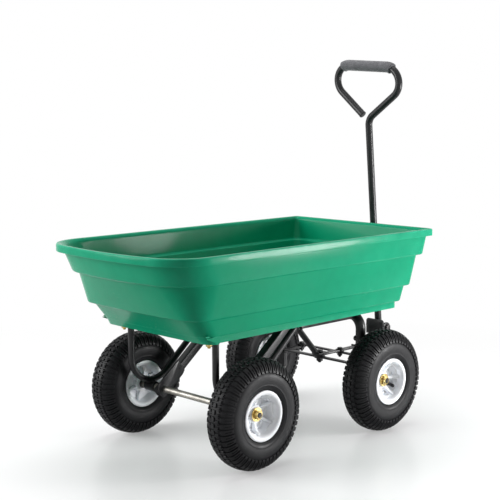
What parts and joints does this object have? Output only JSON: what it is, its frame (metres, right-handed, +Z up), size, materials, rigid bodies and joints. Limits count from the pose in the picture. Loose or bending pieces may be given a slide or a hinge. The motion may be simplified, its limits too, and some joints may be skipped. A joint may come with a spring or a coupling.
{
  "type": "garden cart",
  "caption": "Garden cart with a tipping moulded tray, pneumatic wheels, linked front steering and a folding pull handle with a loop grip.",
  "frame": {"origin": "middle of the bounding box on the floor, under the tray", "axes": "+X towards the pull handle, +Y to the left of the cart, +Z up"},
  "size_m": [0.99, 0.499, 0.9479],
  "materials": {
    "green_poly": "moulded polyethylene, smooth, soft gloss",
    "black_steel": "black powder coat, satin",
    "zinc_steel": "bright zinc plate",
    "yellow_zinc": "yellow passivated zinc plate",
    "black_zinc": "black zinc plate",
    "tyre_rubber": "black rubber",
    "white_nylon": "white moulded nylon",
    "bush_nylon": "black nylon bearing bush",
    "grip_foam": "dark grey foam sleeve"
  },
  "bodies": {
    "chassis": {"rear_axle": "zinc_steel", "rail_left": "black_steel", "rail_right": "black_steel", "axle_gusset_left": "black_steel", "axle_gusset_right": "black_steel", "front_hoop": "black_steel", "crossbar": "black_steel", "centre_brace": "black_steel", "cross_tie": "black_steel", "kingpin_left": "zinc_steel", "kingpin_right": "zinc_steel", "steer_pivot_bolt": "black_zinc", "catch_bracket": "black_steel", "catch_pin": "zinc_steel"},
    "tipper": {"tray": "green_poly", "tray_leg_left": "black_steel", "tray_leg_right": "black_steel", "tray_bolt_nose_left": "yellow_zinc", "tray_bolt_nose_right": "yellow_zinc", "tray_bolt_middle_left": "yellow_zinc", "tray_bolt_middle_right": "yellow_zinc", "striker": "zinc_steel"},
    "catch": {"catch_hook": "black_steel"},
    "steering_bar": {"drawbar": "black_steel", "clevis": "black_steel", "handle_bolt": "zinc_steel", "tie_rod_centre_bolt": "black_zinc"},
    "track_rod": {"tie_rod": "black_steel"},
    "left_knuckle": {"knuckle_left": "black_steel", "tie_rod_bolt_left": "black_zinc"},
    "right_knuckle": {"knuckle_right": "black_steel", "tie_rod_bolt_right": "black_zinc"},
    "pull_handle": {"handle": "black_steel", "grip": "grip_foam"},
    "rear_left_wheel": {"tyre_rear_left": "tyre_rubber", "rim_rear_left": "white_nylon", "bush_rear_left": "bush_nylon", "valve_rear_left": "tyre_rubber", "hub_nut_rear_left": "yellow_zinc"},
    "rear_right_wheel": {"tyre_rear_right": "tyre_rubber", "rim_rear_right": "white_nylon", "bush_rear_right": "bush_nylon", "valve_rear_right": "tyre_rubber", "hub_nut_rear_right": "yellow_zinc"},
    "front_left_wheel": {"tyre_front_left": "tyre_rubber", "rim_front_left": "white_nylon", "bush_front_left": "bush_nylon", "valve_front_left": "tyre_rubber", "hub_nut_front_left": "yellow_zinc"},
    "front_right_wheel": {"tyre_front_right": "tyre_rubber", "rim_front_right": "white_nylon", "bush_front_right": "bush_nylon", "valve_front_right": "tyre_rubber", "hub_nut_front_right": "yellow_zinc"}
  },
  "joints": [
    {"name": "tray_tip", "type": "hinge", "parent": "chassis", "child": "tipper", "pos_m": [-0.221, 0, 0.13], "axis": [0, -1, 0], "range_deg": [0, 68]},
    {"name": "catch_swing", "type": "hinge", "parent": "chassis", "child": "catch", "pos_m": [0.279, 0, 0.268], "axis": [0, -1, 0], "range_deg": [0, 25]},
    {"name": "steer", "type": "hinge", "parent": "chassis", "child": "steering_bar", "pos_m": [0.234, 0, 0.1608], "axis": [0, 0, 1], "range_deg": [-30, 30]},
    {"name": "left_kingpin", "type": "hinge", "parent": "chassis", "child": "left_knuckle", "pos_m": [0.234, 0.142, 0.13], "axis": [0, 0, 1], "range_deg": [-30, 30]},
    {"name": "right_kingpin", "type": "hinge", "parent": "chassis", "child": "right_knuckle", "pos_m": [0.234, -0.142, 0.13], "axis": [0, 0, 1], "range_deg": [-30, 30]},
    {"name": "track_rod_pivot", "type": "hinge", "parent": "steering_bar", "child": "track_rod", "pos_m": [0.316, 0, 0.1555], "axis": [0, 0, 1], "range_deg": [-30, 30]},
    {"name": "handle_fold", "type": "hinge", "parent": "steering_bar", "child": "pull_handle", "pos_m": [0.481, 0, 0.205], "axis": [0, 1, 0], "range_deg": [0, 109]},
    {"name": "rear_left_spin", "type": "hinge", "parent": "chassis", "child": "rear_left_wheel", "pos_m": [-0.221, 0.2125, 0.13], "axis": [0, 1, 0], "continuous": true},
    {"name": "rear_right_spin", "type": "hinge", "parent": "chassis", "child": "rear_right_wheel", "pos_m": [-0.221, -0.2125, 0.13], "axis": [0, 1, 0], "continuous": true},
    {"name": "front_left_spin", "type": "hinge", "parent": "left_knuckle", "child": "front_left_wheel", "pos_m": [0.234, 0.2125, 0.13], "axis": [0, 1, 0], "continuous": true},
    {"name": "front_right_spin", "type": "hinge", "parent": "right_knuckle", "child": "front_right_wheel", "pos_m": [0.234, -0.2125, 0.13], "axis": [0, 1, 0], "continuous": true}
  ],
  "couplings": [
    {"joint": "left_kingpin", "follows": "steer", "ratio": 1},
    {"joint": "right_kingpin", "follows": "steer", "ratio": 1},
    {"joint": "track_rod_pivot", "follows": "steer", "ratio": -1}
  ]
}
